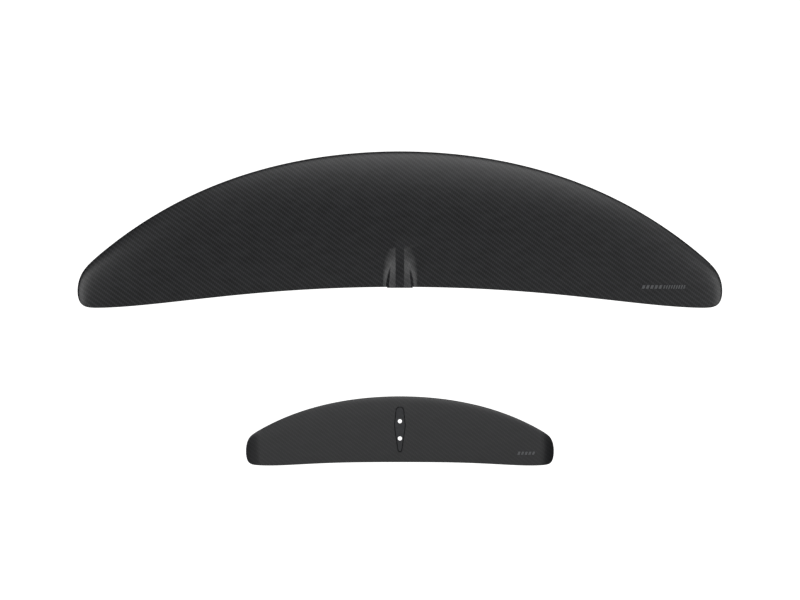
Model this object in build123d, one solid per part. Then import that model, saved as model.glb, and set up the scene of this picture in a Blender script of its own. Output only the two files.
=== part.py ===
from build123d import *
import os
from math import cos, pi, sqrt

# Hydrofoil wing set: a moulded carbon front wing and its stabiliser.
# Frame: X spanwise, +Y forward, +Z up, millimetres. The origin is the centre of the front wing's
# two fuselage screws, on the flat underside of its socket boss.

# Front wing
FRONT_HALF_SPAN = 517.0
FRONT_LEAD_Y = 188.5
FRONT_LEAD = (149.7, 46.6)                # sweep of the leading edge, even power terms from t^2
FRONT_TRAIL = (217.1, 49.7, 11.7, -28.1)  # trailing edge behind FRONT_LEAD_Y, even power terms
FRONT_TIP_POWER = 81                      # the higher, the squarer the tips
FRONT_LEVEL = 16.0          # height of the root chord line
FRONT_DROOP = (30.0, 15.0)  # fall of the chord line at the tips, square and fourth power terms
FRONT_SKIN = 1.4
FRONT_THICKNESS = 0.115     # root thickness over chord
FRONT_TIP_THICKNESS = 0.085
FRONT_CAMBER = 0.03

# Stabiliser
STAB_HALF_SPAN = 246.4
STAB_LEAD_Y = -203.5
STAB_LEAD = (52.6, 14.5)
STAB_TRAIL = (105.5, 3.4, 22.5, -23.0)
STAB_TIP_POWER = 70
STAB_SKIN = 1.0
STAB_THICKNESS = 0.085
STAB_TIP_THICKNESS = 0.07
STAB_CAMBER = 0.012
STAB_SWEEP_UP = 4.0         # rise of the chord line at the tips before the curl
CURL_LENGTH = 25.6
CURL_RADIUS = 36.0

# Socket boss of the front wing
BOSS_WIDTH = 41.0
BOSS_HEIGHT = 26.6          # of the bar, which the fairing covers
BOSS_CORNER = 8.0
BOSS_REAR = -30.0
BOSS_FRONT = 78.0
BOSS_RAMP_Y = 45.0          # where the flat underside starts to rise to the lower skin
BOSS_RAMP_Z = 12.0
HUMP_HEIGHT = 29.0          # the fairing's flat top, which the upper skin rises to meet
HUMP_FRONT = 46.0           # the fairing starts under the skin
HUMP_REAR = -29.2           # and ends just behind the trailing edge, short of the boss's face
HUMP_EMBED = 3.0            # how far its foot is under the skin
HUMP_FOOT = 31.0            # half-width of the foot
HUMP_NARROWING = 0.4        # share of the foot's width lost at the front
HUMP_SECTIONS = (0.0, 0.12, 0.27, 0.45, 0.7, 1.0)
HUMP_PROFILE = ((1.0, 0.0), (0.86, 0.32), (0.70, 0.60), (0.58, 0.90), (0.28, 1.0))  # width, height
SOCKET_WIDTH = 30.0
SOCKET_HEIGHT = 17.0
SOCKET_DEPTH = 62.0
SOCKET_FLOOR = 6.5
SOCKET_CORNER = 5.0
SOCKET_TAPER = 0.6          # narrowing on each side by the blind end
SCREW_HOLE = 6.6
FRONT_SCREW_SPACING = 28.0
BUSH_FLANGE = 15.0
BUSH_RIM = 2.0
BUSH_BODY = 10.0
BUSH_LENGTH = 6.0
COUNTERSINK = 12.6

# Inside the front wing: each piece's front and rear as shares of the chord, and spanwise reach
SPAR_CAP = 2.4
FRONT_CAVITY = (0.04, 0.85)
FRONT_LEADING_BEAD = (0.043, 0.095)
FRONT_NOSE_CORE = (0.1, 0.296)
FRONT_CAPS = (0.3, 0.49)
FRONT_WEB_FORWARD = (0.3, 0.31)
FRONT_WEB_REAR = (0.48, 0.49)
FRONT_SPAR_FOAM = (0.315, 0.475)
FRONT_REAR_CORE = (0.495, 0.79)
FRONT_TRAILING_BEAD = (0.795, 0.845)
FRONT_TIP_BLOCK = (0.1, 0.84)
FRONT_CAVITY_REACH = 488.0
FRONT_BEAD_REACH = 474.0
FRONT_CORE_REACH = 440.0
FRONT_WEB_REACH = 400.0
FRONT_TIP_START = 444.0
FRONT_TIP_REACH = 480.0
BOSS_CLEAR = 32.0           # the rear pieces start this far out, beside the boss

# Pad of the stabiliser
PAD_FRONT = 17.7            # behind the leading edge
PAD_LENGTH = 70.4
PAD_CIRCLES = ((0.08, 5.6), (0.42, 8.0), (0.966, 2.4))  # centre as a share of length, radius
PAD_SEAT_Z = SOCKET_FLOOR   # the fuselage runs straight from the socket floor to the pad
PAD_HEIGHT = 1.2
STAB_SCREWS_BACK = 53.7     # pattern centre behind the leading edge
STAB_SCREW_SPACING = 27.6
BLOCK_SHARES = (0.1, 0.95)  # chord shares between which the mount block is trimmed to the lower skin
BLOCK_REACH = 40.0

# Inside the stabiliser
STAB_CAVITY = (0.07, 0.8)
STAB_LEADING_BEAD = (0.075, 0.135)
STAB_CORE = (0.14, 0.34)
STAB_SPAR = (0.345, 0.5)
STAB_REAR_CORE = (0.505, 0.74)
STAB_TRAILING_BEAD = (0.745, 0.79)
STAB_CAVITY_REACH = 212.0
STAB_CORE_REACH = 200.0
STAB_TRAILING_REACH = 190.0
PAD_CLEAR = 9.0             # the pieces beside the mount block start this far out

# Shared
BLUNT = 0.006               # trailing edge height over chord
GAP = 0.4                   # bond line round the inner pieces
SECTION_STEPS = 12
OUTBOARD = (0.07, 0.0525, 0.0385, 0.0275, 0.019, 0.0127, 0.0082, 0.005, 0.0028, 0.0014, 0.0006)
PARTING = 0.0005            # bond line between the skins over chord
INBOARD_STEPS = 12
STATION_GAP = 5.0           # least distance from a piece's end to the next section
OVERRUN = 1.0               # how far a cutting shape runs past what it cuts
WELL_CLEAR = 20.0           # further than any surface of the stabiliser is from the level of its pad


class Wing:
    """Plan outline, section and level of one wing as functions of the spanwise position x."""

    def __init__(self, half_span, lead_y, lead, trail, tip_power, ratios, camber, level):
        self.half_span = half_span
        self.lead_y = lead_y
        self.lead = lead
        self.trail = trail
        self.tip_power = tip_power
        self.ratios = ratios
        self.camber = camber
        self.level = level

    def edges(self, x):
        """Leading and trailing edge y: even polynomials closed by a superellipse at the tips."""
        t = abs(x) / self.half_span
        lead = self.lead_y - self.lead[0] * t**2 - self.lead[1] * t**4
        trail = self.lead_y - sum(c * t ** (2 * i) for i, c in enumerate(self.trail))
        half = (lead - trail) / 2 * sqrt(1 - t**self.tip_power)
        middle = (lead + trail) / 2
        return middle + half, middle - half

    def point(self, x, s, side, inset=0.0):
        """A point of the surface at chord fraction s, side +1 upper, -1 lower, moved in by inset."""
        lead, trail = self.edges(x)
        chord = lead - trail
        t = abs(x) / self.half_span
        ratio = self.ratios[0] + (self.ratios[1] - self.ratios[0]) * t**2
        half = 5 * ratio * (0.2969 * sqrt(s) - 0.126 * s - 0.3516 * s**2 + 0.2843 * s**3 - 0.1036 * s**4)
        half += BLUNT / 2 * s
        bow = 4 * self.camber * s * (1 - s)
        return Vector(x, lead - chord * s, self.level(x) + chord * (bow + side * half) - side * inset)

    def outline(self, x, side):
        """The half section at x: skin surface, half of the blunt trailing edge, parting line.

        The upper half ends on the chord line, and the lower half stays PARTING chords clear of it.
        """
        lead, trail = self.edges(x)
        clear = 0 if side > 0 else PARTING
        level = self.level(x) - clear * (lead - trail)
        shares = [(1 - cos(pi * i / SECTION_STEPS)) / 2 for i in range(SECTION_STEPS + 1)]
        points = [self.point(x, clear + (1 - clear) * share, side) for share in shares]
        marks = [i / SECTION_STEPS for i in range(SECTION_STEPS + 1)]
        parting_tail = Vector(x, points[-1].Y, level)
        parting_nose = Vector(x, points[0].Y, level)
        edges = [
            Edge.make_spline(points, parameters=marks),
            Edge.make_line(points[-1], parting_tail),
            Edge.make_line(parting_tail, parting_nose),
        ]
        if clear:
            edges.append(Edge.make_line(parting_nose, points[0]))
        return Wire(edges)

    def stations(self, inner=None, outer=None):
        """Spanwise positions from one tip to the other, or over one stretch of the right half."""
        ends = [self.half_span * (1 - k) for k in OUTBOARD]
        inboard = [ends[0] * i / INBOARD_STEPS for i in range(INBOARD_STEPS)]
        right = inboard + ends
        if outer is not None:
            right = [x for x in right if x < outer - STATION_GAP] + [outer]
        if inner is not None:
            return [inner] + [x for x in right if x > inner + STATION_GAP]
        return [-x for x in reversed(right[1:])] + right

    def half(self, side):
        """The upper (side +1) or lower (side -1) half of the wing, before it is hollowed."""
        return Solid.make_loft([self.outline(x, side) for x in self.stations()])

    def slab(self, shares, top, bottom, inner=None, outer=None, steps=6):
        """An inner piece between two chord shares.

        top and bottom are (side, inset) pairs: the piece's faces follow that skin at that depth.
        """
        wires = []
        front, back = shares
        fractions = [front + (back - front) * i / steps for i in range(steps + 1)]
        marks = [i / steps for i in range(steps + 1)]
        for x in self.stations(inner, outer):
            upper = [self.point(x, s, *top) for s in fractions]
            lower = [self.point(x, s, *bottom) for s in reversed(fractions)]
            wires.append(Wire([
                Edge.make_spline(upper, parameters=marks),
                Edge.make_line(upper[-1], lower[0]),
                Edge.make_spline(lower, parameters=marks),
                Edge.make_line(lower[-1], upper[0]),
            ]))
        return Solid.make_loft(wires)


def front_level(x):
    t = abs(x) / FRONT_HALF_SPAN
    return FRONT_LEVEL - FRONT_DROOP[0] * t**2 - FRONT_DROOP[1] * t**4


def stab_level(x):
    t = abs(x) / STAB_HALF_SPAN
    into_curl = max(0.0, min(abs(x), STAB_HALF_SPAN) - (STAB_HALF_SPAN - CURL_LENGTH))
    curl = CURL_RADIUS - sqrt(CURL_RADIUS**2 - into_curl**2)
    return STAB_LEVEL + STAB_SWEEP_UP * t**2 + curl


def prism(points, axis_plane, low, high):
    """Extrude a closed outline drawn on axis_plane from low to high along the plane's normal."""
    face = axis_plane.offset(low) * make_face(Polyline(*points, close=True))
    return extrude(face, high - low)


def rounded_bar(width, height, corner, floor, rear, front, taper=0.0):
    """A bar along Y with rounded section, floor height given, narrowed by taper at its front."""
    centre = floor + height / 2
    ends = []
    for y, shrink in ((rear, 0.0), (front, taper)):
        plane = Plane((0, y, centre), x_dir=(1, 0, 0), z_dir=(0, 1, 0))
        ends.append(plane * RectangleRounded(width - 2 * shrink, height - 2 * shrink, corner))
    return loft(ends)


def save(name, shape):
    export_step(shape, f"parts/{name}.step")


def both(name, right):
    """Save a piece of the right half and its mirror image on the left."""
    save(f"{name}_right", right)
    save(f"{name}_left", right.mirror(Plane.YZ))


front = Wing(
    FRONT_HALF_SPAN, FRONT_LEAD_Y, FRONT_LEAD, FRONT_TRAIL, FRONT_TIP_POWER,
    (FRONT_THICKNESS, FRONT_TIP_THICKNESS), FRONT_CAMBER, front_level,
)
STAB_TOP = 0.5 * STAB_THICKNESS + STAB_CAMBER
STAB_LEVEL = PAD_SEAT_Z - PAD_HEIGHT - STAB_TRAIL[0] * STAB_TOP
stab = Wing(
    STAB_HALF_SPAN, STAB_LEAD_Y, STAB_LEAD, STAB_TRAIL, STAB_TIP_POWER,
    (STAB_THICKNESS, STAB_TIP_THICKNESS), STAB_CAMBER, stab_level,
)


def socket_fairing():
    """The hump over the socket: sections across the wing that rise out of the upper skin."""
    wires = []
    for share in HUMP_SECTIONS:
        y = HUMP_FRONT + (HUMP_REAR - HUMP_FRONT) * share
        s = min((FRONT_LEAD_Y - y) / front.trail[0], 1.0)
        foot_z = front.point(0, s, 1).Z - HUMP_EMBED
        foot = HUMP_FOOT * (1 - HUMP_NARROWING * (1 - share) ** 4)
        height = HUMP_HEIGHT - foot_z
        right = [Vector(foot * w, y, foot_z + height * h) for w, h in HUMP_PROFILE]
        left = [Vector(-p.X, p.Y, p.Z) for p in reversed(right)]
        points = right + [Vector(0, y, HUMP_HEIGHT)] + left
        marks = [i / (len(points) - 1) for i in range(len(points))]
        wires.append(Wire([
            Edge.make_spline(points, parameters=marks),
            Edge.make_line(points[-1], points[0]),
        ]))
    return Solid.make_loft(wires)


def boss_body():
    bar = rounded_bar(BOSS_WIDTH, BOSS_HEIGHT, BOSS_CORNER, 0, BOSS_REAR, BOSS_FRONT)
    ramp = prism(
        (
            (BOSS_RAMP_Y, -OVERRUN),
            (BOSS_FRONT + OVERRUN, -OVERRUN),
            (BOSS_FRONT + OVERRUN, BOSS_RAMP_Z),
        ),
        Plane.YZ, -BOSS_WIDTH, BOSS_WIDTH,
    )
    return bar - ramp


def bush_room():
    """The stepped hole that one bush sits in, from the underside up through the lower wall."""
    through = SOCKET_FLOOR + OVERRUN
    return Pos(0, 0, through / 2) * Cylinder(BUSH_BODY / 2, through) + (
        Pos(0, 0, BUSH_RIM / 2) * Cylinder(BUSH_FLANGE / 2, BUSH_RIM)
    )


def bush():
    """One flanged stainless bush with a plain bore, flange downward."""
    bore = Pos(0, 0, BUSH_LENGTH / 2) * Cylinder(SCREW_HOLE / 2, BUSH_LENGTH + 2 * OVERRUN)
    short = Pos(0, 0, BUSH_LENGTH / 2) * Box(2 * BUSH_FLANGE, 2 * BUSH_FLANGE, BUSH_LENGTH)
    return (bush_room() & short) - bore


def stab_screw_room():
    """Clearance hole and countersink for one stabiliser screw, from the lower skin up."""
    depth = (COUNTERSINK - SCREW_HOLE) / 2
    sink = Pos(0, 0, depth / 2) * Cone(COUNTERSINK / 2, SCREW_HOLE / 2, depth)
    mouth = Pos(0, 0, -OVERRUN) * Cylinder(COUNTERSINK / 2, 2 * OVERRUN)
    return Cylinder(SCREW_HOLE / 2, 2 * WELL_CLEAR) + sink + mouth


def teardrop():
    """The pad as a tall prism, round at nose and tail: the hull of three circles on the centre line."""
    nose_y = STAB_LEAD_Y - PAD_FRONT
    rims = []
    for share, radius in PAD_CIRCLES:
        rims += (Pos(0, nose_y - PAD_LENGTH * share) * Circle(radius)).edges()
    face = Pos(0, 0, -WELL_CLEAR) * make_hull(rims)
    return extrude(face, PAD_SEAT_Z + WELL_CLEAR, dir=(0, 0, 1))


os.makedirs("parts", exist_ok=True)

# Front wing: skins and boss. The fairing is part of the upper skin, so the lower one makes room.
inside = ((1, FRONT_SKIN), (-1, FRONT_SKIN))
cavity = front.slab(FRONT_CAVITY, *inside, outer=FRONT_CAVITY_REACH)
boss = boss_body()
fairing = socket_fairing()
save("front_upper_skin", front.half(1) + fairing - cavity - boss)
save("front_lower_skin", front.half(-1) - cavity - fairing - boss)

socket = rounded_bar(
    SOCKET_WIDTH, SOCKET_HEIGHT, SOCKET_CORNER, SOCKET_FLOOR,
    BOSS_REAR, BOSS_REAR + SOCKET_DEPTH, SOCKET_TAPER,
)
bush_places = [Pos(0, side * FRONT_SCREW_SPACING / 2, 0) for side in (-1, 1)]
boss = boss - socket
for place in bush_places:
    boss = boss - place * bush_room()
save("front_socket_boss", boss)
save("front_screw_bushes", Compound(children=[place * bush() for place in bush_places]))

# Front wing: what the skins hold
upper_in = (1, FRONT_SKIN + GAP)
lower_in = (-1, FRONT_SKIN + GAP)
upper_cap_in = (1, FRONT_SKIN + GAP + SPAR_CAP)
lower_cap_in = (-1, FRONT_SKIN + GAP + SPAR_CAP)
upper_web_in = (1, FRONT_SKIN + 2 * GAP + SPAR_CAP)
lower_web_in = (-1, FRONT_SKIN + 2 * GAP + SPAR_CAP)
for name, shares, top, bottom, reach in (
    ("leading_edge_bead", FRONT_LEADING_BEAD, upper_in, lower_in, FRONT_BEAD_REACH),
    ("nose_core", FRONT_NOSE_CORE, upper_in, lower_in, FRONT_CORE_REACH),
    ("spar_cap_upper", FRONT_CAPS, upper_in, upper_cap_in, FRONT_CORE_REACH),
    ("spar_cap_lower", FRONT_CAPS, lower_cap_in, lower_in, FRONT_CORE_REACH),
    ("shear_web_forward", FRONT_WEB_FORWARD, upper_web_in, lower_web_in, FRONT_WEB_REACH),
    ("shear_web_rear", FRONT_WEB_REAR, upper_web_in, lower_web_in, FRONT_WEB_REACH),
    ("spar_foam", FRONT_SPAR_FOAM, upper_web_in, lower_web_in, FRONT_WEB_REACH),
):
    save(f"front_{name}", front.slab(shares, top, bottom, outer=reach))
for name, shares, start, reach in (
    ("rear_core", FRONT_REAR_CORE, BOSS_CLEAR, FRONT_CORE_REACH),
    ("trailing_edge_bead", FRONT_TRAILING_BEAD, BOSS_CLEAR, FRONT_CORE_REACH),
    ("tip_block", FRONT_TIP_BLOCK, FRONT_TIP_START, FRONT_TIP_REACH),
):
    both(f"front_{name}", front.slab(shares, upper_in, lower_in, inner=start, outer=reach))

# Stabiliser
inside = ((1, STAB_SKIN), (-1, STAB_SKIN))
stab_cavity = stab.slab(STAB_CAVITY, *inside, outer=STAB_CAVITY_REACH)
block = teardrop()
for name, side in (("upper", 1), ("lower", -1)):
    save(f"stab_{name}_skin", stab.half(side) - stab_cavity - block)

above_lower_skin = ((1, -WELL_CLEAR), (-1, 0))
block = block & stab.slab(BLOCK_SHARES, *above_lower_skin, outer=BLOCK_REACH)
for side in (-1, 1):
    screw_y = STAB_LEAD_Y - STAB_SCREWS_BACK + side * STAB_SCREW_SPACING / 2
    lower_skin = stab.point(0, (STAB_LEAD_Y - screw_y) / STAB_TRAIL[0], -1).Z
    block = block - Pos(0, screw_y, lower_skin) * stab_screw_room()
save("stab_mount_block", block)

upper_in = (1, STAB_SKIN + GAP)
lower_in = (-1, STAB_SKIN + GAP)
bead = stab.slab(STAB_LEADING_BEAD, upper_in, lower_in, outer=STAB_CORE_REACH)
save("stab_leading_edge_bead", bead)
for name, shares, reach in (
    ("core", STAB_CORE, STAB_CORE_REACH),
    ("spar", STAB_SPAR, STAB_CORE_REACH),
    ("rear_core", STAB_REAR_CORE, STAB_CORE_REACH),
    ("trailing_edge_bead", STAB_TRAILING_BEAD, STAB_TRAILING_REACH),
):
    both(f"stab_{name}", stab.slab(shares, upper_in, lower_in, inner=PAD_CLEAR, outer=reach))
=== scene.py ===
import math

import bpy
import numpy as np
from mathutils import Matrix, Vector


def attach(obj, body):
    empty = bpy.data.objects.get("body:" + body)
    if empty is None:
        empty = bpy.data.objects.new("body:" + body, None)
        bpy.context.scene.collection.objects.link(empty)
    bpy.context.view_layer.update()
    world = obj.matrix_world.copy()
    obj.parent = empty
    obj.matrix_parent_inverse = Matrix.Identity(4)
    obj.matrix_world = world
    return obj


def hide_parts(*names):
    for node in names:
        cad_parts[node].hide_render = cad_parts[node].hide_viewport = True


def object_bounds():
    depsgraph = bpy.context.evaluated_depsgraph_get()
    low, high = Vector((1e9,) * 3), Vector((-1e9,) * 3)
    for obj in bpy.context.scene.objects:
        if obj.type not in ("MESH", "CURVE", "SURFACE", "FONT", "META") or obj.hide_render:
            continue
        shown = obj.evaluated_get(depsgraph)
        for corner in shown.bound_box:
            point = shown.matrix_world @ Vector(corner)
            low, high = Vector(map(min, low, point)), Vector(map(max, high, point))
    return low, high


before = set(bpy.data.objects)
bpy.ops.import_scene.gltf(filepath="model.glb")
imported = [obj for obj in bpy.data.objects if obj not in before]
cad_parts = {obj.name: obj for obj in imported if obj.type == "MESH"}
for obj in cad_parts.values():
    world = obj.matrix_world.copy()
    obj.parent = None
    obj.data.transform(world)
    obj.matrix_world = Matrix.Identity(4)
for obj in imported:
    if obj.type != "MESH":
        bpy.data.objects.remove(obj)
cad_low, cad_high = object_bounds()

MM = 0.001
FLOOR_DROP = 0.25  # the set hangs level this far above the floor, in metres


# ---------------------------------------------------------------- wing shapes, in millimetres

FRONT_HALF_SPAN = 517.0
FRONT_ROOT_LEVEL = 16.0       # height of the chord line on the centre line
FRONT_DROOP = (30.0, 15.0)    # fall at the tip, with the square and the fourth power of the span
STAB_HALF_SPAN = 246.4
STAB_ROOT_LEVEL = -0.44975
STAB_RISE = 4.0               # rise at the tip before the curl, with the square of the span
CURL_WIDTH = 25.6             # the outer part of each half that curls up
CURL_START = STAB_HALF_SPAN - CURL_WIDTH
CURL_RADIUS = 36.0


def front_level(x):
    """Height of the front wing's chord line, which droops by a square and a fourth power of x."""
    t = x / FRONT_HALF_SPAN
    return FRONT_ROOT_LEVEL - FRONT_DROOP[0] * t**2 - FRONT_DROOP[1] * t**4


def stab_level(x):
    """Height of the stabiliser's chord line: a square rise, then an arc of a circle at each tip."""
    curled = np.clip(np.abs(x) - CURL_START, 0, CURL_WIDTH)
    arc = CURL_RADIUS - np.sqrt(CURL_RADIUS**2 - curled**2)
    return STAB_ROOT_LEVEL + STAB_RISE * (x / STAB_HALF_SPAN) ** 2 + arc


# lead and trail hold the falls in y at the tip, by rising even powers of the span; ratios are the
# thickness over chord at the root and at the tip
FRONT = {
    "half_span": FRONT_HALF_SPAN, "lead_y": 188.5, "lead": (149.7, 46.6),
    "trail": (217.1, 49.7, 11.7, -28.1), "tip_power": 81, "ratios": (0.115, 0.085),
    "camber": 0.03, "level": front_level,
}
STAB = {
    "half_span": STAB_HALF_SPAN, "lead_y": -203.5, "lead": (52.6, 14.5),
    "trail": (105.5, 3.4, 22.5, -23.0), "tip_power": 70, "ratios": (0.085, 0.07),
    "camber": 0.012, "level": stab_level,
}
BLUNT = 0.006  # trailing edge height over chord

HUMP_CROWN = (31.0, 32.4)              # height of the crown at the rear and further forward
HUMP_WIDTHS = (6.6, 17.3, 21.4, 28.2)  # half-widths of the top, shoulder, wall and foot at the rear
HUMP_LOSS = (0.28, 0.77)               # share of the height lost at the wall's top and foot, rear
HUMP_LOSS_FORWARD = (0.36, 0.62)       # the same, where the wall begins
HUMP_SPREAD = 32.0                     # half-width over which it fades ahead of the nose
HUMP_REAR = -28.6                      # y of its rear end
HUMP_LENGTH = 70.0                     # from the rear end to the nose of its outline
HUMP_NOSE_POWER = 3.5                  # bluntness of that nose

PAD_CIRCLES = ((5.632, 5.6), (29.568, 8.0), (68.006, 2.4))  # behind the nose, radius
PAD_NOSE_Y = -221.2
PAD_JOINT_WIDTH = 0.9
PAD_JOINT_WALL = 0.6
PAD_JOINT_DEPTH = 1.5
PAD_INSET = 0.5                        # how far inside the block's wall the skin is cut away

BOSS_HALF_WIDTH = 20.5
BOSS_HALF_HEIGHT = 13.3                # also the height of its middle
BOSS_CORNER = 8.0                      # radius of its long edges
BOSS_INSET = 0.4                       # how far under its surface the skin is cut away
BOSS_ENDS = (-29.7, 77.6)              # the y between which the skin is cut away
BOSS_RAMP = (45.0, -1.0, 13 / 34)      # y and height where its underside begins to climb, slope


def plan_edges(wing, x):
    """Leading and trailing edge y at span x.

    Both are even polynomials in x over half the span. Their half-difference is multiplied by the
    square root of one minus that share to a high power, a superellipse that rounds the tips.
    """
    t = np.abs(x) / wing["half_span"]
    lead = wing["lead_y"] - wing["lead"][0] * t**2 - wing["lead"][1] * t**4
    trail = wing["lead_y"] - sum(c * t ** (2 * i) for i, c in enumerate(wing["trail"]))
    half = (lead - trail) / 2 * np.sqrt(np.clip(1 - t ** wing["tip_power"], 0, 1))
    middle = (lead + trail) / 2
    return middle + half, middle - half


def skin_point(wing, x, s, side):
    """A skin point at span x and chord share s, side +1 upper and -1 lower.

    Height is the chord line's level, plus chord times a parabolic bow, plus or minus chord times
    the square-root-nosed thickness curve, plus a wedge that leaves the trailing edge blunt.
    """
    lead, trail = plan_edges(wing, x)
    chord = lead - trail
    t = np.abs(x) / wing["half_span"]
    ratio = wing["ratios"][0] + (wing["ratios"][1] - wing["ratios"][0]) * t**2
    curve = 0.2969 * np.sqrt(s) - 0.126 * s - 0.3516 * s**2 + 0.2843 * s**3 - 0.1036 * s**4
    half = 5 * ratio * curve + BLUNT / 2 * s
    bow = 4 * wing["camber"] * s * (1 - s)
    return np.stack([x + 0 * s, lead - chord * s, wing["level"](x) + chord * (bow + side * half)], -1)


def smooth_step(value, low, high):
    """0 below low, 1 above high, and the cubic 3u^2 - 2u^3 between."""
    u = np.clip((value - low) / (high - low), 0, 1)
    return u * u * (3 - 2 * u)


def hump_lift(points):
    """How far the socket fairing stands above the upper skin.

    Along the chord it is the gap between a nearly level crown line and the skin, softened where
    it reaches zero. Across, a share of that gap is lost. At the rear the share is none on the flat
    top, rises steadily over the shoulder, fast down the side wall, and out along the flared foot
    as one minus the 1.25th power of what is left. Forward it is one slope from top to foot, in
    the same way with the 1.15th power.
    The foot narrows to a blunt nose, ahead of which the slope spreads out into the skin.
    """
    x, y, z = np.abs(points[..., 0]), points[..., 1], points[..., 2]
    crown = HUMP_CROWN[0] + (HUMP_CROWN[1] - HUMP_CROWN[0]) * smooth_step(y, -28, 20)
    soft = 0.5
    gap = np.log1p(np.exp(np.clip((crown - z) / soft, -30, 30))) * soft * smooth_step(-y, -76, -62)
    along = np.clip((y - HUMP_REAR) / HUMP_LENGTH, 0, 1)
    nose = np.sqrt(np.clip(1 - along**HUMP_NOSE_POWER, 0.0001, 1))
    pull = 1 - 0.2 * smooth_step(y, -28, 12)
    top, shoulder, wall, widest = HUMP_WIDTHS
    shoulder = np.maximum(shoulder * nose * pull, top + 1)
    wall = np.maximum(wall * nose * pull, shoulder + 1)
    ahead = smooth_step(y, 32, 39)
    foot = np.maximum(widest * nose, wall + 1) * (1 - ahead) + HUMP_SPREAD * ahead
    over_shoulder = np.clip((x - top) / (shoulder - top), 0, 1)
    down_wall = np.clip((x - shoulder) / (wall - shoulder), 0, 1)
    out_foot = np.clip((x - wall) / (foot - wall), 0, 1)
    forward = smooth_step(y, -28, 0)
    at_shoulder, at_wall = (r + (f - r) * forward for r, f in zip(HUMP_LOSS, HUMP_LOSS_FORWARD))
    lost_rear = at_shoulder * over_shoulder + (at_wall - at_shoulder) * down_wall
    lost_rear += (1 - at_wall) * (1 - (1 - out_foot) ** 1.25)
    even = np.clip((x - top) / (foot - top), 0, 1)
    rear = 1 - smooth_step(y, -3, 14)
    return gap * (1 - lost_rear * rear - (1 - (1 - even) ** 1.15) * (1 - rear))


def pad_distance(x, y):
    """Distance outside the pad's outline: the hull of three circles on the centre line.

    Each pair of circles is a round cone, whose distance is taken to its slanted side or to the
    nearer end circle; the hull is the smaller of the two.
    """
    best = np.full(np.broadcast(x, y).shape, 1e9)
    for (back_a, r_a), (back_b, r_b) in zip(PAD_CIRCLES[:-1], PAD_CIRCLES[1:]):
        across, down = np.abs(x), (PAD_NOSE_Y - back_a) - y
        length = back_b - back_a
        lean = (r_a - r_b) / length
        upright = math.sqrt(1 - lean**2)
        along = down * upright - across * lean
        side = across * upright + down * lean - r_a
        near = np.hypot(across, down) - r_a
        far = np.hypot(across, down - length) - r_b
        cone = np.where(along < 0, near, np.where(along > length * upright, far, side))
        best = np.minimum(best, cone)
    return best


def pad_lift(points):
    """The skin drops into a narrow joint round the pad: a straight steep wall, then a flat."""
    away = pad_distance(points[..., 0], points[..., 1])
    return -PAD_JOINT_DEPTH * np.clip((PAD_JOINT_WIDTH - away) / PAD_JOINT_WALL, 0, 1)


def in_boss(points):
    """True inside the socket boss, a little under its surface.

    It is a bar whose section is a rounded rectangle, taken as the distance from the rectangle
    shrunk by the corner radius, cut off below by a plane that climbs towards the front.
    """
    x, y, z = points[..., 0], points[..., 1], points[..., 2]
    out_x = np.abs(x) - (BOSS_HALF_WIDTH - BOSS_CORNER)
    out_z = np.abs(z - BOSS_HALF_HEIGHT) - (BOSS_HALF_HEIGHT - BOSS_CORNER)
    rounded = np.hypot(np.clip(out_x, 0, None), np.clip(out_z, 0, None))
    rounded += np.minimum(np.maximum(out_x, out_z), 0) - BOSS_CORNER
    ramp_y, ramp_z, slope = BOSS_RAMP
    above_ramp = z > ramp_z + (y - ramp_y) * slope + BOSS_INSET
    return (rounded < -BOSS_INSET) & (y > BOSS_ENDS[0]) & (y < BOSS_ENDS[1]) & above_ramp


def in_pad_block(points):
    """True inside the stabiliser's mount block, a little within its side wall."""
    return pad_distance(points[..., 0], points[..., 1]) < -PAD_INSET


def wing_columns(wing, core, core_step, mid_step):
    """Spanwise positions: fine over the middle, even outboard, then crowding to the tip point."""
    half = wing["half_span"]
    middle = np.arange(0, core, core_step)
    tip_start = half * 0.935
    outboard = np.linspace(core, tip_start, int((tip_start - core) / mid_step), endpoint=False)
    tip = half - (half - tip_start) * (1 - np.linspace(0, 1, 46)[:-1]) ** 2
    right = np.concatenate([middle, outboard, tip])
    return np.concatenate([-right[:0:-1], right])


def chord_shares(count):
    """Chord shares from leading to trailing edge, crowded towards the nose and a little aft."""
    u = np.linspace(0, 1, count)
    return (1 - np.cos(np.pi * u)) / 2 * 0.55 + u**1.6 * 0.45


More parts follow.
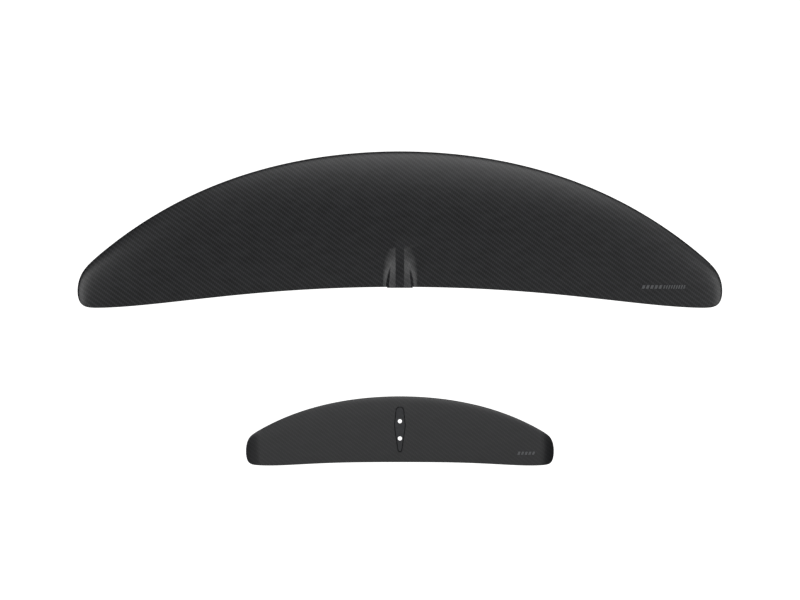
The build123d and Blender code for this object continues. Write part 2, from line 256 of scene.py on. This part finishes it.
def wing_skin(name, wing, columns, upper_count, lower_count, lift, buried):
    """The moulded skin of one wing as one closed surface of two parameters.

    Round the section it runs up the blunt trailing edge, forward over the upper skin to the nose
    and back under the lower skin. Along the span it follows columns, closed by a point at each
    tip. Faces inside the buried solid are left out, because that solid fills the opening.
    """
    upper = skin_point(wing, columns[None, :], chord_shares(upper_count)[::-1, None], 1)
    lower = skin_point(wing, columns[None, :], chord_shares(lower_count)[1:, None], -1)
    upper[..., 2] += lift(upper)
    climb = np.linspace(0, 1, 13)[1:-1, None, None]
    tail = lower[-1][None] * (1 - climb) + upper[0][None] * climb
    grid = np.concatenate([tail, upper, lower])
    rows, cols = grid.shape[:2]

    # cloth coordinates: x along the span, arc length round the section from mid-chord
    steps = np.linalg.norm(np.diff(grid, axis=0), axis=-1)
    arc = np.concatenate([np.zeros((1, cols)), np.cumsum(steps, axis=0)])
    middle_row = len(climb) + int(np.argmin(np.abs(chord_shares(upper_count)[::-1] - 0.5)))
    draped = arc - arc[middle_row] + grid[middle_row, :, 1]
    cloth = np.stack([np.broadcast_to(columns, (rows, cols)), draped], -1)

    tips = []
    for end in (-1, 1):
        x = np.array(end * wing["half_span"])
        tips.append(skin_point(wing, x, np.array(0.5), 0))
    vertices = np.concatenate([grid.reshape(-1, 3), np.array(tips)])
    uv = np.concatenate([cloth.reshape(-1, 2), np.array(tips)[:, :2]])

    r = np.arange(rows)[:, None]
    c = np.arange(cols - 1)[None, :]
    after = (r + 1) % rows
    quads = np.stack([r * cols + c, r * cols + c + 1, after * cols + c + 1, after * cols + c], -1)
    quads = quads.reshape(-1, 4)
    inside = buried(vertices)
    quads = quads[~inside[quads].all(axis=1)]
    r = np.arange(rows)
    after = (r + 1) % rows
    left = np.stack([np.full(rows, rows * cols), r * cols, after * cols], -1)
    last = cols - 1
    right = np.stack([r * cols + last, np.full(rows, rows * cols + 1), after * cols + last], -1)
    return surface(name, vertices, [quads, left, right], uv, 48)


def surface(name, vertices, face_sets, uv, sharp_degrees):
    """A mesh object in metres from vertices in millimetres, with its cloth coordinates in metres."""
    mesh = bpy.data.meshes.new(name)
    faces = [face for faces in face_sets for face in faces.tolist()]
    mesh.from_pydata((vertices * MM).tolist(), [], faces)
    layer = mesh.uv_layers.new(name="cloth")
    corner = np.empty(len(mesh.loops), dtype=np.int32)
    mesh.loops.foreach_get("vertex_index", corner)
    layer.data.foreach_set("uv", (uv[corner] * MM).astype(np.float32).ravel())
    mesh.polygons.foreach_set("use_smooth", np.ones(len(mesh.polygons), dtype=bool))
    mesh.set_sharp_from_angle(angle=math.radians(sharp_degrees))
    mesh.validate()
    piece = bpy.data.objects.new(name, mesh)
    bpy.context.scene.collection.objects.link(piece)
    return piece


def slanted_mark(name, wing, groups, y0, height, lift):
    """A plain mark of slanted bars: each is a small patch of the upper skin, lifted off it.

    Each group is its start, its width, how many bars it has and the share of the pitch they fill.
    Across a bar x runs over its width, and up a bar y runs over the mark's height while x leans.
    """
    across, up = 5, 7  # points of a bar's patch
    lean = 0.35
    patches, faces, base = [], [], 0
    u, v = np.meshgrid(np.linspace(0, 1, across), np.linspace(0, 1, up))
    r, c = np.meshgrid(np.arange(up - 1), np.arange(across - 1), indexing="ij")
    for x0, width, bars, fill in groups:
        pitch = width / bars
        for bar in range(bars):
            x = x0 + pitch * (bar + fill * u) + lean * height * v
            y = y0 + height * v
            lead, trail = plan_edges(wing, x)
            patch = skin_point(wing, x, (lead - y) / (lead - trail), 1)
            patch[..., 2] += lift
            patches.append(patch.reshape(-1, 3))
            corner = base + r * across + c
            ring = [corner, corner + 1, corner + across + 1, corner + across]
            faces.append(np.stack(ring, -1).reshape(-1, 4))
            base += u.size
    vertices = np.concatenate(patches)
    return surface(name, vertices, faces, vertices[:, :2], 60)


# ---------------------------------------------------------------- materials


def linear(hex_colour):
    """An sRGB hex colour as linear RGBA."""
    channels = [int(hex_colour[i:i + 2], 16) / 255 for i in (1, 3, 5)]
    lit = [c / 12.92 if c <= 0.04045 else ((c + 0.055) / 1.055) ** 2.4 for c in channels]
    return (*lit, 1.0)


def add(tree, kind, inputs=None, **settings):
    """Adds one node with its properties in settings.

    Inputs maps a socket to a value, to another socket, or to a node, meaning its first output.
    """
    made = tree.nodes.new(kind)
    for key, value in settings.items():
        setattr(made, key, value)
    for key, value in (inputs or {}).items():
        if isinstance(value, bpy.types.Node):
            value = value.outputs[0]
        if isinstance(value, bpy.types.NodeSocket):
            tree.links.new(value, made.inputs[key])
        else:
            made.inputs[key].default_value = value
    return made


def finish_of(name, **shader_values):
    """A new material with its Principled shader, whose sockets take shader_values."""
    material = bpy.data.materials.new(name)
    material.use_nodes = True
    tree = material.node_tree
    shader = tree.nodes["Principled BSDF"]
    for key, value in shader_values.items():
        shader.inputs[key.replace("_", " ")].default_value = value
    return material, tree, shader


def twill_weave(tree, across, along, tow_across, tow_along):
    """A 2 by 2 twill from cloth coordinates in metres.

    The tows are numbered by whole parts of the two coordinates over their widths. Where the sum
    of the numbers modulo four is under two the warp is on top, otherwise the weft. Each tow's
    height is a parabola across its width, raised by 0.4, times a half sine along its float.
    """
    warp = add(tree, "ShaderNodeMath", {0: across, 1: tow_across * MM}, operation="DIVIDE")
    weft = add(tree, "ShaderNodeMath", {0: along, 1: tow_along * MM}, operation="DIVIDE")
    warp_number = add(tree, "ShaderNodeMath", {0: warp}, operation="FLOOR")
    weft_number = add(tree, "ShaderNodeMath", {0: weft}, operation="FLOOR")
    counts = []
    for first, second in ((warp_number, weft), (warp, weft_number), (warp_number, weft_number)):
        both = add(tree, "ShaderNodeMath", {0: first, 1: second}, operation="ADD")
        counts.append(add(tree, "ShaderNodeMath", {0: both, 1: 4.0}, operation="FLOORED_MODULO"))
    warp_phase, weft_phase, whole = counts
    warp_on_top = add(tree, "ShaderNodeMath", {0: whole, 1: 1.5}, operation="LESS_THAN")
    crowns = []
    for tow, phase, start in ((warp, warp_phase, 0.0), (weft, weft_phase, 2.0)):
        part = add(tree, "ShaderNodeMath", {0: tow}, operation="FRACT")
        side = add(tree, "ShaderNodeMath", {0: part, 1: 2.0, 2: -1.0}, operation="MULTIPLY_ADD")
        square = add(tree, "ShaderNodeMath", {0: side, 1: side}, operation="MULTIPLY")
        top = add(tree, "ShaderNodeMath", {0: 1.0, 1: square}, operation="SUBTRACT")
        raised = add(tree, "ShaderNodeMath", {0: top, 1: 0.4}, operation="ADD")
        float_start = add(tree, "ShaderNodeMath", {0: phase, 1: start}, operation="SUBTRACT")
        turn = add(tree, "ShaderNodeMath", {0: float_start, 1: math.pi / 2}, operation="MULTIPLY")
        rise = add(tree, "ShaderNodeMath", {0: turn}, operation="SINE")
        float_up = add(tree, "ShaderNodeMath", {0: rise, 1: 0.0}, operation="MAXIMUM")
        crowns.append(add(tree, "ShaderNodeMath", {0: raised, 1: float_up}, operation="MULTIPLY"))
    height = add(tree, "ShaderNodeMix", {0: warp_on_top, 2: crowns[1], 3: crowns[0]})
    return warp_on_top, height


def carbon_twill(name, dark, light, tow_across, tow_along, relief, roughness, coat_roughness):
    """Carbon fibre and epoxy, laid up as 2 by 2 twill in a mould, then sanded and clear coated.

    The tows show as fine slanted lines because warp and weft turn the light differently, and this
    light is painted into the base colour: painted sheen makes the warp on top lighter than the weft
    and each tow's crown lighter than its sides. The satin coat over them gives a broad soft sheen,
    and its faint unevenness keeps it from a mirror.
    """
    material, tree, shader = finish_of(
        name, Roughness=roughness, Coat_Weight=1.0, Coat_Roughness=coat_roughness, Coat_IOR=1.5,
    )
    cloth = add(tree, "ShaderNodeUVMap", uv_map="cloth")
    split = add(tree, "ShaderNodeSeparateXYZ", {0: cloth})
    across, along = split.outputs[0], split.outputs[1]
    warp_on_top, height = twill_weave(tree, across, along, tow_across, tow_along)
    place = add(tree, "ShaderNodeTexCoord").outputs["Object"]
    # the tone of the fibre drifts in patches about 25 mm along the span by 11 mm
    stretched = add(tree, "ShaderNodeMapping", {0: place, 3: (40.0, 90.0, 40.0)})
    tone = add(tree, "ShaderNodeTexNoise", {"Vector": stretched, "Scale": 1.0, "Detail": 2.0})
    # painted highlight: the colour lightens with each tow's crown height, standing in for light on
    # the rounded tow
    level = add(tree, "ShaderNodeMapRange", {0: height, 1: 0.0, 2: 1.4, 3: 0.0, 4: 0.5})
    # painted sheen: where the warp is on top the colour is painted lighter than the weft
    painted_sheen_values = {0: warp_on_top, 1: 0.45, 2: level}
    top = add(tree, "ShaderNodeMath", painted_sheen_values, operation="MULTIPLY_ADD")
    mottled = add(tree, "ShaderNodeMapRange", {0: tone, 1: 0.3, 2: 0.7, 3: -0.08, 4: 0.10})
    share = add(tree, "ShaderNodeMath", {0: top, 1: mottled}, operation="ADD", use_clamp=True)
    # the dark and light colours are one fibre, mixed by the painted sheen and the random tone drift
    tones = {0: share, 6: linear(dark), 7: linear(light)}
    colour = add(tree, "ShaderNodeMix", tones, data_type="RGBA")
    tree.links.new(colour.outputs[2], shader.inputs["Base Color"])
    weave_values = {"Strength": relief, "Distance": 0.0001, "Height": height}
    raised = add(tree, "ShaderNodeBump", weave_values)
    tree.links.new(raised.outputs[0], shader.inputs["Normal"])
    # long-wave unevenness of the sprayed coat, waves of about 8 mm
    ripple = add(tree, "ShaderNodeTexNoise", {"Vector": place, "Scale": 120.0, "Detail": 1.0})
    coat_values = {"Strength": 0.12, "Distance": 0.00012, "Height": ripple}
    coat = add(tree, "ShaderNodeBump", coat_values)
    tree.links.new(coat.outputs[0], shader.inputs["Coat Normal"])
    return material


def compression_moulded(name, dark, light, roughness):
    """Chopped carbon and epoxy pressed in a steel mould: flakes of tow, about 4 mm, in black.

    A finer grain about a millimetre across is mixed in, and also raises the satin surface.
    """
    material, tree, shader = finish_of(
        name, Roughness=roughness, Coat_Weight=0.6, Coat_Roughness=0.35,
    )
    place = add(tree, "ShaderNodeTexCoord").outputs["Object"]
    flakes = add(tree, "ShaderNodeTexVoronoi", {"Vector": place, "Scale": 260.0})
    fine = add(tree, "ShaderNodeTexNoise", {"Vector": place, "Scale": 900.0, "Detail": 3.0})
    both = {0: 0.35, 6: flakes.outputs["Color"], 7: fine.outputs["Color"]}
    grain = add(tree, "ShaderNodeMix", both, data_type="RGBA")
    value = add(tree, "ShaderNodeRGBToBW", {0: grain.outputs[2]})
    tones = {0: value, 6: linear(dark), 7: linear(light)}
    colour = add(tree, "ShaderNodeMix", tones, data_type="RGBA")
    tree.links.new(colour.outputs[2], shader.inputs["Base Color"])
    raised = add(tree, "ShaderNodeBump", {"Strength": 0.15, "Distance": 0.0001, "Height": fine})
    tree.links.new(raised.outputs[0], shader.inputs["Normal"])
    return material


def speckled(name, dark, light, scale, stretch, roughness, relief, metallic=0.0):
    """A plain stuff with one grain: colour, height and roughness follow the same stretched noise.

    Scale is in grains to the metre, and stretch multiplies it along each axis.
    """
    material, tree, shader = finish_of(name, Metallic=metallic)
    place = add(tree, "ShaderNodeTexCoord").outputs["Object"]
    laid = add(tree, "ShaderNodeMapping", {0: place, 3: stretch})
    grain = add(tree, "ShaderNodeTexNoise", {"Vector": laid, "Scale": scale, "Detail": 4.0})
    tones = {0: grain, 6: linear(dark), 7: linear(light)}
    colour = add(tree, "ShaderNodeMix", tones, data_type="RGBA")
    tree.links.new(colour.outputs[2], shader.inputs["Base Color"])
    worn = add(tree, "ShaderNodeMapRange", {0: grain, 3: roughness - 0.08, 4: roughness + 0.08})
    tree.links.new(worn.outputs[0], shader.inputs["Roughness"])
    raised = add(tree, "ShaderNodeBump", {"Strength": relief, "Distance": 0.0002, "Height": grain})
    tree.links.new(raised.outputs[0], shader.inputs["Normal"])
    return material


# Front wing: tows 2.7 mm across the span and 2.05 mm along the chord, as the cloth lies on it;
# # its light colour is the same fibre as the dark one, painted lighter for the painted sheen of the
# weave
front_carbon = carbon_twill(
    "Satin_coated_carbon_twill", "#050506", "#47484B", 2.73, 2.05, 0.45, 0.4, 0.25,
)
# Stabiliser: a finer cloth under a duller coat and with fainter painted sheen, so the weave is
# # fainter; its colours are set greyer
stab_carbon = carbon_twill(
    "Matt_coated_fine_carbon_twill", "#1D1E20", "#38393C", 2.31, 1.73, 0.3, 0.45, 0.3,
)
# Both moulded blocks are the same stuff, but the stabiliser's is the greyer
boss_carbon = compression_moulded("Compression_moulded_carbon", "#141517", "#2A2B2E", 0.5)
block_carbon = compression_moulded("Moulded_carbon_mount_block", "#323336", "#484A4E", 0.5)
# Austenitic stainless turned on a lathe: fine rings, a dull silver
stainless = speckled(
    "Turned_stainless_steel", "#8E9092", "#B9BBBD", 600.0, (1.0, 1.0, 6.0), 0.32, 0.1, 1.0,
)
# Carbon tows all one way in epoxy, cured under a peel ply: long dark streaks along the span
unidirectional = speckled(
    "Unidirectional_carbon_laminate", "#0E0F10", "#2B2C2E", 900.0, (0.05, 1.0, 1.0), 0.55, 0.2,
)
# Woven glass in epoxy, cut from a cured sheet: pale green, slightly streaked
glass_laminate = speckled(
    "Glass_and_epoxy_laminate", "#9FA883", "#C6CBA8", 500.0, (0.3, 1.0, 1.0), 0.45, 0.15,
)
# Epoxy thickened with milled fibre and spread by hand: brown grey, finely gritty
filled_epoxy = speckled(
    "Filled_epoxy", "#5A5448", "#7A7364", 700.0, (1.0, 1.0, 1.0), 0.6, 0.3,
)
# Closed-cell foam cut on a machine: cream, with small open cells on the cut faces
cut_foam = speckled(
    "Machined_closed_cell_foam", "#CDBF93", "#E9DFBC", 1400.0, (1.0, 1.0, 1.0), 0.85, 0.6,
)
# Screen-printed ink: flat light grey with the slightest mottle
printed_ink = speckled(
    "Screen_printed_grey_ink", "#8E9093", "#A2A4A7", 300.0, (1.0, 1.0, 1.0), 0.55, 0.05,
)


# ---------------------------------------------------------------- pieces


def dress(piece, material, body, slot, *stands_for):
    """Gives a piece its material and body, and hides the nodes that it stands for."""
    piece.data.materials.clear()
    piece.data.materials.append(material)
    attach(piece, body)
    if stands_for:
        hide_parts(*stands_for)


front_columns = wing_columns(FRONT, 34.0, 0.6, 4.6)
front_skin = wing_skin("front_wing_skin", FRONT, front_columns, 150, 70, hump_lift, in_boss)
dress(
    front_skin, front_carbon, "front_wing", "front_skin_carbon",
    "front_upper_skin", "front_lower_skin",
)

stab_columns = wing_columns(STAB, 12.0, 0.6, 2.6)
stab_skin = wing_skin("stabiliser_skin", STAB, stab_columns, 150, 90, pad_lift, in_pad_block)
dress(
    stab_skin, stab_carbon, "stabiliser", "stab_skin_carbon",
    "stab_upper_skin", "stab_lower_skin",
)

MARK_LIFT = 0.08  # height of the ink over the skin, in millimetres
front_mark_groups = ((387.0, 34.0, 5, 0.62), (421.5, 36.0, 9, 0.5))
front_mark = slanted_mark("front_wing_mark", FRONT, front_mark_groups, -31.3, 5.6, MARK_LIFT)
dress(front_mark, printed_ink, "front_wing", "front_skin_carbon")
stab_mark_groups = ((188.0, 29.0, 5, 0.6),)
stab_mark = slanted_mark("stabiliser_mark", STAB, stab_mark_groups, -297.0, 4.8, MARK_LIFT)
dress(stab_mark, printed_ink, "stabiliser", "stab_skin_carbon")

NODE_FINISHES = (
    ("socket_boss", boss_carbon), ("mount_block", block_carbon), ("screw_bushes", stainless),
    ("spar_cap", unidirectional), ("stab_spar", unidirectional), ("shear_web", glass_laminate),
    ("bead", filled_epoxy), ("tip_block", filled_epoxy), ("core", cut_foam), ("foam", cut_foam),
)
for node_name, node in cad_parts.items():
    for words, material in NODE_FINISHES:
        if words in node_name:
            for slot in node.material_slots:
                slot.material = material
            break


# ---------------------------------------------------------------- floor, light and camera


FRONT_LIGHT_TURN = 10.0  # degrees from straight ahead towards +X
FRONT_LIGHT_SPREAD = 0.56  # tangent of the angle at which the front lobe has fallen to 0.6
FRONT_LIGHT = 2.35
OVERHEAD_LIGHT = 0.095
REAR_LIGHT = 0.4
REAR_LIGHT_WAY = (0.5, -0.85, 0.0)  # towards the rear right
PLAIN_WHITE = 1.05  # brightness of the table and of what the camera sees round the set


def studio_floor():
    """A pale light table, lit from within, so bright that no shadow shows on it.

    It is left out of diffuse and glossy rays, so it neither lights the set nor shows in it.
    """
    reach = 40.0
    low = cad_low.z - FLOOR_DROP
    mesh = bpy.data.meshes.new("light_table")
    ends = ((-reach, -reach), (reach, -reach), (reach, reach), (-reach, reach))
    corners = [(x, y, low) for x, y in ends]
    mesh.from_pydata(corners, [], [(0, 1, 2, 3)])
    floor = bpy.data.objects.new("light_table", mesh)
    bpy.context.scene.collection.objects.link(floor)
    material, tree, shader = finish_of(
        "Opal_acrylic_light_table", Base_Color=linear("#F2F2F0"), Roughness=0.9,
        Emission_Color=linear("#FFFFFF"), Emission_Strength=PLAIN_WHITE,
    )
    mesh.materials.append(material)
    floor.visible_glossy = False
    floor.visible_diffuse = False


def studio_light():
    """A soft tent of light round the set.

    Its brightness is a sum over the direction looked in: a little everywhere, a front lobe that
    grows with the sine of the angle from overhead and falls off to its sides as a bell curve, and
    a weak rise to the rear right. The sum fades from full, where the direction's height is 0.6,
    to a twentieth at 0.12 and below. The camera sees plain white instead.
    """
    world = bpy.data.worlds.new("studio_tent")
    bpy.context.scene.world = world
    world.use_nodes = True
    tree = world.node_tree
    tree.nodes.clear()

    direction = add(tree, "ShaderNodeTexCoord").outputs["Generated"]
    height = add(tree, "ShaderNodeSeparateXYZ", {0: direction}).outputs[2]
    turn = math.radians(FRONT_LIGHT_TURN)
    front_way = (math.sin(turn), math.cos(turn), 0.0)
    side_way = (math.cos(turn), -math.sin(turn), 0.0)
    shares = []
    for way in (front_way, side_way, REAR_LIGHT_WAY):
        dot = add(tree, "ShaderNodeVectorMath", {0: direction, 1: way}, operation="DOT_PRODUCT")
        shares.append(dot.outputs["Value"])
    towards, beside, rearward = shares
    ahead = add(tree, "ShaderNodeMath", {0: towards, 1: 0.001}, operation="MAXIMUM")
    width = add(tree, "ShaderNodeMath", {0: ahead, 1: FRONT_LIGHT_SPREAD}, operation="MULTIPLY")
    swing = add(tree, "ShaderNodeMath", {0: beside, 1: width}, operation="DIVIDE")
    square = add(tree, "ShaderNodeMath", {0: swing, 1: swing}, operation="MULTIPLY")
    halved = add(tree, "ShaderNodeMath", {0: square, 1: -0.5}, operation="MULTIPLY")
    fall = add(tree, "ShaderNodeMath", {0: halved}, operation="EXPONENT")
    grown = add(tree, "ShaderNodeMath", {0: ahead, 1: 1.1}, operation="POWER")
    lobe = add(tree, "ShaderNodeMath", {0: grown, 1: fall}, operation="MULTIPLY")
    behind = add(tree, "ShaderNodeMath", {0: rearward, 1: 0.0}, operation="MAXIMUM")
    lit = add(tree, "ShaderNodeMath", {0: behind, 1: REAR_LIGHT}, operation="MULTIPLY")
    even = add(tree, "ShaderNodeMath", {0: lit, 1: OVERHEAD_LIGHT}, operation="ADD")
    lobe_values = {0: lobe, 1: FRONT_LIGHT, 2: even}
    total = add(tree, "ShaderNodeMath", lobe_values, operation="MULTIPLY_ADD")
    fade = {0: height, 1: 0.12, 2: 0.6, 3: 0.05, 4: 1.0}
    above = add(tree, "ShaderNodeMapRange", fade, interpolation_type="SMOOTHSTEP")
    strength = add(tree, "ShaderNodeMath", {0: total, 1: above}, operation="MULTIPLY")
    tent = add(tree, "ShaderNodeBackground", {"Strength": strength})
    plain = add(tree, "ShaderNodeBackground", {"Strength": PLAIN_WHITE})
    seen = add(tree, "ShaderNodeLightPath").outputs["Is Camera Ray"]
    mixed = add(tree, "ShaderNodeMixShader", {0: seen, 1: tent, 2: plain})
    add(tree, "ShaderNodeOutputWorld", {0: mixed})


def strip_light(name, place, size, power, lit):
    """A soft box at place in metres, turned to the origin, that lights only the pieces given."""
    lamp = bpy.data.lights.new(name, "AREA")
    lamp.shape = "RECTANGLE"
    lamp.size, lamp.size_y = size
    lamp.energy = power
    box = bpy.data.objects.new(name, lamp)
    bpy.context.scene.collection.objects.link(box)
    box.location = place
    box.rotation_euler = (-Vector(place)).to_track_quat("-Z", "Y").to_euler()
    group = bpy.data.collections.new(name + "_lights")
    for piece in lit:
        group.objects.link(piece)
    box.light_linking.receiver_collection = group


def overhead_camera():
    """Looks straight down from far off, so that the plan is nearly free of perspective."""
    lens_data = bpy.data.cameras.new("overhead_camera")
    distance = 20.0
    field = 1.28  # width of the view at the set, in metres
    sensor = 36.0
    lens_data.sensor_width = sensor
    lens_data.lens = sensor * distance / field
    lens_data.clip_end = 60.0
    camera = bpy.data.objects.new("overhead_camera", lens_data)
    bpy.context.scene.collection.objects.link(camera)
    camera.location = (0.00016, -0.0494, 0.012 + distance)
    bpy.context.scene.camera = camera


studio_floor()
studio_light()
# the side boxes reach only the front wing and the small box only the stabiliser, so that each
# wing's tone is set on its own
socket_pieces = (front_skin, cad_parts["front_socket_boss"])
stab_pieces = (stab_skin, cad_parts["stab_mount_block"])
strip_light("left_soft_box", (-6.25, -0.6, 4.95), (5.0, 3.4), 84.0, socket_pieces)
strip_light("right_soft_box", (6.3, -0.6, 4.7), (5.0, 3.4), 66.0, socket_pieces)
strip_light("stabiliser_soft_box", (-0.3, -0.45, 2.5), (2.0, 1.8), 4.6, stab_pieces)
overhead_camera()
bpy.context.scene.view_settings.view_transform = "Standard"
